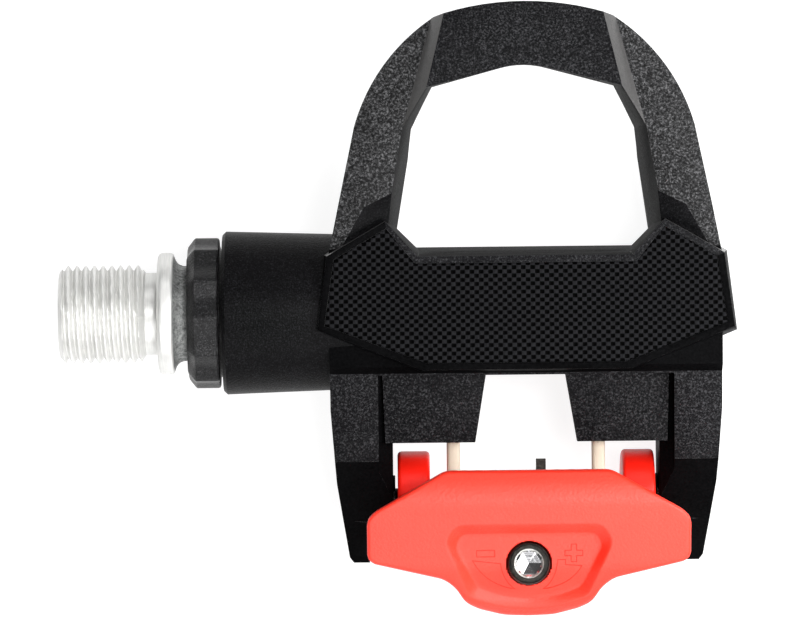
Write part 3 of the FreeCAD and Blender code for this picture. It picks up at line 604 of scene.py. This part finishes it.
def body_finish(face):
    """Which of BODY_FINISHES a face of the body has, by where it is (mm) and which way it looks; its darker
    and paler copies of the nylon carry painted shade and painted reflection.
    """
    x = abs(face.center.x - CENTRE_X) / MM
    y = face.center.y / MM
    z = face.center.z / MM
    up = face.normal.z
    slant = abs(face.normal.x)
    from_axis = max(math.hypot(y, z), 0.001)
    outward = (face.normal.y * y + face.normal.z * z) / from_axis
    boss_skin = face.center.x < tread_lo.x + 9 * MM and outward > 0.985 and from_axis > 9
    if boss_skin or face.center.x < ring_hi.x - 2 * MM:
        return BOSS
    # The nose's crease facets and the frame's slopes get the pale facet nylon: painted reflection.
    nose_crease = y > 27 and 0.4 < up < 0.93 and slant > 0.25
    frame_slope = z > 11.3 and 0.2 < up < 0.93 and -10 < y < 15
    if nose_crease or frame_slope:
        return FACET_PAINTED_REFLECTION
    # Slanted faces at the heel end of the rails get the light grey bevel nylon: painted highlight.
    if y < -25 and x > 24 and 0.06 < up < 0.97 and slant > 0.22:
        return BEVEL
    if y > 8.5 and 0.85 < up < 0.93:
        return BOSS
    # The flat top at the heel gets the darker fine speckle.
    if y < -30.4 and up > 0.9:
        return FINE
    # Walls, slopes, the frame rim and the beam get the near-black smooth nylon; on walls and slopes its
    # darkness is partly painted shade.
    if up < 0.9 or z > 11.4 and y < 9 or -9.5 < y < 9:
        # The beam's front wall gets the pale facet nylon: painted reflection.
        front_edge = face.normal.y > 0.7 and 5 < y < 12 and z > 8
        return FACET_PAINTED_REFLECTION if front_edge else SMOOTH_PAINTED_SHADE
    # The bridge gets the darker fine speckle as painted shade; the arms get their own speckle.
    if y > 9:
        return FINE if x < 9 else ARM
    # The low tabs get the darker fine speckle as painted shade; the rails get the paler grain.
    return FINE if x < 17 else GRAIN


softened_copy("pedal_body", "pedal_body_moulded", "pedal", BODY_FINISHES, 0.3 * MM, "black_nylon",
              pick=body_finish, angle=12)


# ---------------------------------------------------------------- woven tread plate

def tread_outline():
    """The CAD plate's outline, counter-clockwise, chained from the edges round its top face."""
    bm = bmesh.new()
    bm.from_mesh(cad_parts["tread_plate"].data)
    bmesh.ops.remove_doubles(bm, verts=bm.verts, dist=CAD_WELD)
    follows = {}
    for face in bm.faces:
        if face.normal.z < 0.9:
            continue
        for loop in face.loops:
            if any(other.normal.z < 0.9 for other in loop.edge.link_faces):
                follows[loop.vert.index] = loop.link_loop_next.vert.index
    bm.verts.ensure_lookup_table()
    start = here = next(iter(follows))
    path = []
    while True:
        path.append(tuple(bm.verts[here].co.xy))
        here = follows[here]
        if here == start:
            break
    bm.free()
    return np.array(path)


WEAVE_X = 1.345 * MM
WEAVE_Y = 1.174 * MM
WEAVE_RISE = 0.16 * MM


def weave_top(grid, depth):
    """Plain weave: square cells that stand up and sink in turn, level at the plate's border."""
    x = grid[..., 0] - CENTRE_X
    wave = np.sin(2 * np.pi * x / WEAVE_X) * np.sin(2 * np.pi * grid[..., 1] / WEAVE_Y)
    shaped = np.sign(wave) * np.abs(wave) ** 0.6
    fade = np.clip(depth / (0.25 * MM), 0, 1)
    return tread_hi.z - WEAVE_RISE * (1 - (0.5 + 0.5 * shaped) * fade)


def flat_under(level):
    """Underside at one height, as relief_panel takes it."""
    return lambda grid, depth: np.full(grid.shape[:-1], level)


def woven_material():
    """Carbon-look weave: pale satin crowns, black hollows, the same pitch as the mesh."""
    mat, tree, shader, coords = new_material("woven_composite")
    split = tree.nodes.new("ShaderNodeSeparateXYZ")
    tree.links.new(coords, split.inputs["Vector"])
    from_centre = maths(tree, "SUBTRACT", split.outputs["X"], CENTRE_X)
    across = maths(tree, "SINE", maths(tree, "MULTIPLY", from_centre, 2 * math.pi / WEAVE_X))
    along = maths(tree, "SINE", maths(tree, "MULTIPLY", split.outputs["Y"], 2 * math.pi / WEAVE_Y))
    steepened = maths(tree, "POWER", maths(tree, "ABSOLUTE", across), 0.6)
    wide = maths(tree, "MULTIPLY", maths(tree, "SIGN", across), steepened)
    wave = maths(tree, "MULTIPLY", wide, along)
    strands = noise(tree, coords, 0.00016, detail=2, stretch=(1, 0.3, 1))
    cloud = noise(tree, coords, 0.006, detail=2)
    streaks = maths(tree, "MULTIPLY", maths(tree, "SUBTRACT", strands, 0.42),
                    spread(tree, wave, 0, 1.6, -0.1, 0.2))
    tone = total(tree, spread(tree, wave, 0, 0.75, -0.14, 0.06), streaks)
    tree.links.new(ramp(tree, tone, (0.05, (0.0003, 0.0003, 0.0003)), (0.9, (0.012, 0.012, 0.0132))),
                   shader.inputs["Base Color"])
    tree.links.new(spread(tree, cloud, 0.42, 0.55, 0.3, 0.7), shader.inputs["Roughness"])
    shader.inputs["Specular IOR Level"].default_value = 0.01
    bump(tree, shader, (strands, 0.00002))
    return mat


relief_panel("tread_weave", tread_outline(), (0.17 * MM, 0.15 * MM), weave_top, flat_under(tread_lo.z),
             "pedal", [woven_material()], replaces=("tread_plate",), slot="woven_composite")


# ---------------------------------------------------------------- latch

SCREW = Vector(((screw_lo.x + screw_hi.x) / 2, (screw_lo.y + screw_hi.y) / 2, screw_hi.z))
WING = (latch_hi.x - latch_lo.x) / 2
LATCH_TOP = latch_hi.z
CLAW_Y = SCREW.y + 13.4 * MM
TAIL_Y = latch_lo.y


def mirrored(half):
    """Closed outline about the pedal's centre plane from its right half, in mm from CENTRE_X and SCREW.y."""
    right = [(CENTRE_X + x * MM, SCREW.y + y * MM) for x, y in half]
    left = [(CENTRE_X - x * MM, SCREW.y + y * MM) for x, y in reversed(half) if x]
    return right + left


TAIL = (TAIL_Y - SCREW.y) / MM
plate_outline = rounded(mirrored([
    (0, TAIL), (3.6, TAIL + 0.15), (7.2, TAIL + 1.1), (9.1, TAIL + 2.1), (10.5, -3.5), (12.2, -2.2),
    (22.3, 0.2), (WING / MM, 1.0), (WING / MM, 6.5), (22.0, 7.7), (11.9, 13.4),
]), 0.9 * MM)
recess_rim = rounded(mirrored([
    (0, -6.75), (3.4, -6.5), (6.3, -5.7), (8.5, -4.9), (12.1, 3.3), (10.5, 5.75),
]), 1.8 * MM)
recess_floor = rounded(mirrored([
    (0, -5.2), (3.0, -4.9), (5.4, -4.3), (7.5, -3.4), (10.5, 2.5), (9.6, 4.3),
]), 1.0 * MM)


def local(points):
    """Points given in mm from CENTRE_X and SCREW.y, in metres from the origin."""
    return np.array([(CENTRE_X + x * MM, SCREW.y + y * MM) for x, y in points])


MINUS = local([(-7.5, 1.0), (-4.9, 1.0), (-4.9, 1.95), (-7.5, 1.95)])
PLUS_HALF = 1.28
BAR = 0.39
PLUS_AT = (6.43, 1.45)
PLUS = local([(PLUS_AT[0] + x, PLUS_AT[1] + y) for x, y in [
    (-BAR, -PLUS_HALF), (BAR, -PLUS_HALF), (BAR, -BAR), (PLUS_HALF, -BAR), (PLUS_HALF, BAR), (BAR, BAR),
    (BAR, PLUS_HALF), (-BAR, PLUS_HALF), (-BAR, BAR), (-PLUS_HALF, BAR), (-PLUS_HALF, -BAR), (-BAR, -BAR)]])


def bend(start, via, stop, steps=12):
    """Points on a smooth curve that starts and stops at given points and leans to the via point."""
    return [curve_point(start, via, stop, k / steps) for k in range(steps)]


WEDGE_LEFT = local(bend((-8.1, 0.45), (-6.2, -3.1), (-2.0, -3.8))
                   + bend((-2.0, -3.8), (-4.0, -2.3), (-4.1, 0.45)))
WEDGE_RIGHT = local(bend((4.1, 0.5), (4.0, -2.3), (2.1, -3.8)) + bend((2.1, -3.8), (6.0, -3.3), (7.6, -0.4))
                    + [(7.6, -0.4), (5.25, -0.25), (5.25, 0.5)])


def top_height(y):
    """Height of the latch's top by y: rolled claw, long slope, steeper tail."""
    places = np.array([TAIL_Y, TAIL_Y + 2.2 * MM, SCREW.y - 0.5 * MM, SCREW.y + 6 * MM, CLAW_Y - 4.6 * MM,
                       CLAW_Y - 2.8 * MM, CLAW_Y - 1.2 * MM, CLAW_Y])
    drops = np.array([9.6, 6.6, 3.0, 0.75, 0.0, 0.22, 0.75, 1.55]) * MM
    return LATCH_TOP - 0.02 * MM - np.interp(y, places, drops)


def smooth_top(y):
    """Height of the latch's top by y, averaged over a short run so that its bends are soft."""
    offsets = np.linspace(-0.8, 0.8, 9) * MM
    return np.mean([top_height(y + o) for o in offsets], axis=0)


RECESS = 1.5 * MM
PLATE = 3.7 * MM
SCREW_HOLE = 3.22 * MM


def latch_top(grid, depth):
    """Latch top with a rolled border, the sunken panel and its raised inner edge, and the screw hole."""
    height = smooth_top(grid[..., 1])
    edge = 0.5 * MM
    d = np.clip(depth, 0, edge)
    height = height - (edge - np.sqrt(np.maximum(edge ** 2 - (edge - d) ** 2, 0)))
    rim = edge_distance(grid, recess_rim)
    floor = edge_distance(grid, recess_floor)
    share = np.clip(rim / np.maximum(rim - floor, 1e-6), 0, 1)
    share = np.where(floor > 0, 1, share) ** 1.1
    height = height - RECESS * share
    height = height + 0.07 * MM * np.exp(-((floor - 0.12 * MM) / (0.16 * MM)) ** 2)
    reach = np.linalg.norm(grid - np.array([SCREW.x, SCREW.y]), axis=-1)
    return height - (PLATE - 0.1 * MM) * np.clip((SCREW_HOLE - reach) / (0.15 * MM), 0, 1)


def latch_under(grid, depth):
    """Underside of the latch plate, a little higher round its border."""
    return smooth_top(grid[..., 1]) - PLATE + 0.2 * MM * (depth < 0.3 * MM)


relief_panel("latch_plate", plate_outline, (0.2 * MM, 0.17 * MM), latch_top, latch_under, "latch",
             [red_nylon], replaces=("latch",), slot="red_nylon")


def mark_line(name, outline, half, rise):
    """Fine raised line that follows a closed outline on the latch's sunken panel, darker red as painted shade
    of the moulded groove.
    """
    count = len(outline)
    bm = bmesh.new()
    sides = []
    for i in range(count):
        before, after = outline[i - 1], outline[(i + 1) % count]
        here = outline[i]
        into = (here - before) / max(np.linalg.norm(here - before), 1e-9)
        out = (after - here) / max(np.linalg.norm(after - here), 1e-9)
        lean = np.array([-(into + out)[1], (into + out)[0]])
        lean /= max(np.linalg.norm(lean), 1e-9)
        lean /= max(abs(lean @ np.array([-out[1], out[0]])), 0.5)
        base = smooth_top(here[1]) - RECESS
        ring = []
        for across, up in ((-1.4, -0.05 * MM), (-0.7, rise), (0.7, rise), (1.4, -0.05 * MM)):
            spot = here + lean * half * across
            ring.append(bm.verts.new((spot[0], spot[1], base + up)))
        sides.append(ring)
    for here, after in zip(sides, sides[1:] + sides[:1]):
        for k in range(4):
            bm.faces.new((here[k], after[k], after[(k + 1) % 4], here[(k + 1) % 4]))
    new_piece(name, bm, "latch", [red_line_painted_shade], slot="red_nylon", smooth=False)


MARKS = (("minus", MINUS), ("plus", PLUS), ("wedge_left", WEDGE_LEFT), ("wedge_right", WEDGE_RIGHT))
for mark, shape in MARKS:
    mark_line("latch_mark_" + mark, shape, 0.055 * MM, 0.04 * MM)


def arc(centre, radius, start, stop, steps):
    """Points on an arc, angles in degrees from +Y towards +Z."""
    return [(centre[0] + radius * math.cos(math.radians(a)), centre[1] + radius * math.sin(math.radians(a)))
            for a in np.linspace(start, stop, steps)]


EAR_IN = 14.0 * MM
EAR_OUT = 18.7 * MM
EAR_RADIUS = PIVOT.z - latch_lo.z
for hand, side in ((-1, "left"), (1, "right")):
    outline = arc((PIVOT.y, PIVOT.z), EAR_RADIUS, 82, -180, 60)
    outline += [(SCREW.y + 0.2 * MM, 6 * MM), (SCREW.y + 0.2 * MM, LATCH_TOP - 5.6 * MM),
                (PIVOT.y - 5 * MM, LATCH_TOP - 3.6 * MM), (PIVOT.y + 1.2 * MM, LATCH_TOP - 2.6 * MM)]
    foot, head = ([(x, y, z) for y, z in outline]
                  for x in sorted((CENTRE_X + hand * EAR_IN, CENTRE_X + hand * EAR_OUT)))
    prism("latch_ear_" + side, foot, head, "latch", [red_gloss], 0.6 * MM, slot="red_nylon")

BACK = [(8.2, TAIL + 2.4), (6.9, TAIL + 1.5), (3.5, TAIL + 0.6), (0, TAIL + 0.45)]
back_outer = local(BACK + [(-x, y) for x, y in reversed(BACK[:-1])])
back_inner = local([(-x, y + 2.2) for x, y in BACK] + [(x, y + 2.2) for x, y in reversed(BACK[:-1])])
back_foot, back_head = ([(x, y, z) for x, y in np.concatenate([back_outer, back_inner])]
                        for z in (1.0 * MM, LATCH_TOP - 9.4 * MM))
prism("latch_back", back_foot, back_head, "latch", [red_nylon], 0.5 * MM, slot="red_nylon")


SOCKET = 1.6 * MM
SOCKET_TURN = 1 / 12
HEAD_UNDER = 11.6 * MM
THREAD_TOP = 11.2 * MM
THREAD_STATIONS = 60
SCREW_PITCH = 0.8 * MM


def circle_z(centre, radius, z, count=64):
    """Ring of points about a vertical line; radius may vary with the share of a turn."""
    points = []
    for i in range(count):
        share = i / count
        r = radius(share) if callable(radius) else radius
        turn = 2 * math.pi * share
        points.append((centre.x + r * math.cos(turn), centre.y + r * math.sin(turn), z))
    return points


def screw_thread(z):
    """Radius of the tension screw's right-hand thread at height z, by share of a turn."""
    return lambda share: (2.28 + 0.2 * abs(2 * ((z / SCREW_PITCH - share) % 1.0) - 1)) * MM


def tension_screw():
    """Socket-head screw: bright hexagon socket, chamfered mouth, ringed head, helical thread."""
    head = (screw_hi.x - screw_lo.x) / 2
    top = screw_hi.z
    hexed = hexagon(SOCKET, SOCKET_TURN)
    profile = [(hexagon(0.02 * MM, SOCKET_TURN), top - 1.75 * MM), (hexed, top - 1.1 * MM),
               (hexed, top - 0.3 * MM), (1.92 * MM, top - 0.08 * MM), (2.12 * MM, top),
               (head - 0.5 * MM, top), (head - 0.38 * MM, top - 0.07 * MM), (head - 0.28 * MM, top),
               (head - 0.18 * MM, top - 0.04 * MM), (head, top - 0.4 * MM),
               (head, HEAD_UNDER + 0.2 * MM), (head - 0.2 * MM, HEAD_UNDER), (2.48 * MM, HEAD_UNDER)]
    thread_end = screw_lo.z + 0.6 * MM
    for i in range(THREAD_STATIONS + 1):
        z = THREAD_TOP - (THREAD_TOP - thread_end) * i / THREAD_STATIONS
        profile.append((screw_thread(z), z))
    profile.append((1.9 * MM, screw_lo.z))
    bm = bmesh.new()
    loft_rings(bm, [circle_z(SCREW, radius, z) for radius, z in profile])
    piece = new_piece("tension_screw_socketed", bm, "tension_screw", [screw_steel, socket_steel, socket_edge],
                      replaces=("tension_screw",), slot="black_screw")
    for face in piece.data.polygons:
        out = math.hypot(face.center.x - SCREW.x, face.center.y - SCREW.y)
        if out < 2.15 * MM and face.center.z > top - 3 * MM:
            face.material_index = 1 if out < 1.78 * MM else 2
    smooth_by_angle(piece, 10)


tension_screw()


# ---------------------------------------------------------------- springs

def frame_along(points):
    """Unit tangents and a steady pair of cross directions along a path."""
    tangents = np.gradient(points, axis=0)
    tangents /= np.linalg.norm(tangents, axis=1)[:, None]
    side = np.array([1.0, 0.0, 0.0])
    sides, ups = [], []
    for t in tangents:
        s = side - t * (side @ t)
        s /= np.linalg.norm(s)
        sides.append(s)
        ups.append(np.cross(t, s))
    return np.array(sides), np.array(ups)


def wire_piece(name, points, half, corner, body, materials, **keep):
    """Rounded-square wire swept along a path."""
    sides, ups = frame_along(points)
    rings = []
    for point, side, up in zip(points, sides, ups):
        ring = []
        for i in range(24):
            a = 2 * math.pi * i / 24
            c, s = math.cos(a), math.sin(a)
            u = math.copysign(abs(c) ** corner, c) * half
            v = math.copysign(abs(s) ** corner, s) * half
            ring.append(tuple(point + side * u + up * v))
        rings.append(ring)
    bm = bmesh.new()
    loft_rings(bm, rings)
    piece = new_piece(name, bm, body, materials, **keep)
    smooth_by_angle(piece, 35)
    return piece


COIL_TURNS = 3
COIL_STEPS = 48
COIL_PITCH = 2.15 * MM
WIRE = 1.0 * MM
for hand, node in ((-1, "spring_left"), (1, "spring_right")):
    lo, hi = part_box(node)
    coil = (hi.z - lo.z) / 2 - WIRE
    leg_z = PIVOT.z + coil
    leg_x = (hi.x - WIRE) if hand > 0 else (lo.x + WIRE)
    inner_x = leg_x - hand * COIL_PITCH * COIL_TURNS
    path = [(leg_x, y, leg_z) for y in np.linspace(hi.y, PIVOT.y, 24, endpoint=False)]
    for i in range(COIL_TURNS * COIL_STEPS + 1):
        a = 2 * math.pi * i / COIL_STEPS
        path.append((leg_x - hand * COIL_PITCH * i / COIL_STEPS,
                     PIVOT.y - coil * math.sin(a), PIVOT.z + coil * math.cos(a)))
    path += [(inner_x, y, leg_z) for y in np.linspace(PIVOT.y, lo.y, 20)[1:]]
    # Pale cream wire: painted reflection of the plated spring.
    spring = wire_piece(node + "_wound", np.array(path), WIRE * 0.98, 0.55, None, [spring_steel],
                        replaces=(node,), slot="spring_steel")
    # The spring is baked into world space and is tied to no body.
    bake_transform(spring)


# ---------------------------------------------------------------- finishes for the bare CAD nodes

NODE_FINISH = {
    "axle_nut": bearing_steel, "axle_washer": bearing_steel, "ball_bearing_inner_race": bearing_steel,
    "ball_bearing_outer_race": bearing_steel, "bearing_balls": bearing_steel, "bearing_circlip": spring_steel,
    "ball_cage": cage_nylon, "needle_cage": cage_nylon, "needle_cup": bearing_steel,
    "needle_rollers": bearing_steel, "lip_seal": seal_rubber, "o_ring": seal_rubber,
    "pivot_pin": screw_steel, "spring_sleeve": nylon_smooth_painted_shade, "latch_bushings": nylon_smooth_painted_shade,
    "screw_insert": screw_steel, "tension_plate": screw_steel,
}
for node, finish in NODE_FINISH.items():
    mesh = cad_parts[node].data
    mesh.materials.clear()
    mesh.materials.append(finish)


# ---------------------------------------------------------------- floor, light and camera

FLOOR_HALF = 6.0
FLOOR_GLOW = 0.88


def stage_floor():
    """White paper floor just below the pedal, lit from within so that it burns out as in the photograph."""
    low = cad_box[0].z - 0.2 * MM
    bm = bmesh.new()
    bm.faces.new([bm.verts.new((x * FLOOR_HALF, y * FLOOR_HALF, low))
                  for x, y in ((-1, -1), (1, -1), (1, 1), (-1, 1))])
    mesh = bpy.data.meshes.new("floor")
    bm.to_mesh(mesh)
    bm.free()
    floor = bpy.data.objects.new("floor", mesh)
    bpy.context.scene.collection.objects.link(floor)
    mat = bpy.data.materials.new("floor_paper")
    mat.use_nodes = True
    shader = mat.node_tree.nodes["Principled BSDF"]
    shader.inputs["Base Color"].default_value = (0.25, 0.25, 0.25, 1)
    shader.inputs["Roughness"].default_value = 0.9
    shader.inputs["Emission Color"].default_value = (1, 1, 1, 1)
    shader.inputs["Emission Strength"].default_value = FLOOR_GLOW
    mesh.materials.append(mat)


def area_light(name, place, target, size, power):
    """Rectangular lamp at place that faces target."""
    light = bpy.data.lights.new(name, "AREA")
    light.shape = "RECTANGLE"
    light.size, light.size_y = size
    light.energy = power
    lamp = bpy.data.objects.new(name, light)
    bpy.context.scene.collection.objects.link(lamp)
    lamp.location = place
    lamp.rotation_euler = (Vector(target) - Vector(place)).to_track_quat("-Z", "Y").to_euler()


LIGHTS = (
    # name, place from (CENTRE_X, 0, 0) in metres, size, watts
    ("key_heel_right", (0.28, -0.40, 0.56), (0.40, 0.40), 2.8),
    ("key_heel_left", (-0.28, -0.42, 0.54), (0.30, 0.30), 1.2),
    ("glow_heel", (0, -0.62, 0.34), (0.6, 0.3), 1.6),
    ("key_top", (0.14, 0.04, 0.74), (0.18, 0.18), 3.3),
    ("side_right", (0.125, 0.0, 0.115), (0.10, 0.16), 0.36),
    ("fill_nose", (0, 0.6, 0.40), (0.5, 0.3), 0.9),
)
stage_floor()
for name, (across, along, height), size, power in LIGHTS:
    area_light(name, (CENTRE_X + across, along, height), (CENTRE_X, 0, 0), size, power)

world = bpy.data.worlds.new("studio")
bpy.context.scene.world = world
world.use_nodes = True
world.node_tree.nodes["Background"].inputs["Color"].default_value = (1, 1, 1, 1)
world.node_tree.nodes["Background"].inputs["Strength"].default_value = 0.15

CAMERA_PLACE = (CENTRE_X - 18.1 * MM, 0.4 * MM, 0.750)
CAMERA_ROLL = math.radians(-0.6)
CAMERA_LENS = 231.2
camera_data = bpy.data.cameras.new("camera")
camera_data.sensor_width = 36
camera_data.lens = CAMERA_LENS
camera_data.clip_start = 0.05
camera_data.clip_end = 20
camera = bpy.data.objects.new("camera", camera_data)
bpy.context.scene.collection.objects.link(camera)
camera.location = CAMERA_PLACE
camera.rotation_euler = (0, 0, CAMERA_ROLL)
bpy.context.scene.camera = camera
bpy.context.scene.view_settings.view_transform = "Standard"
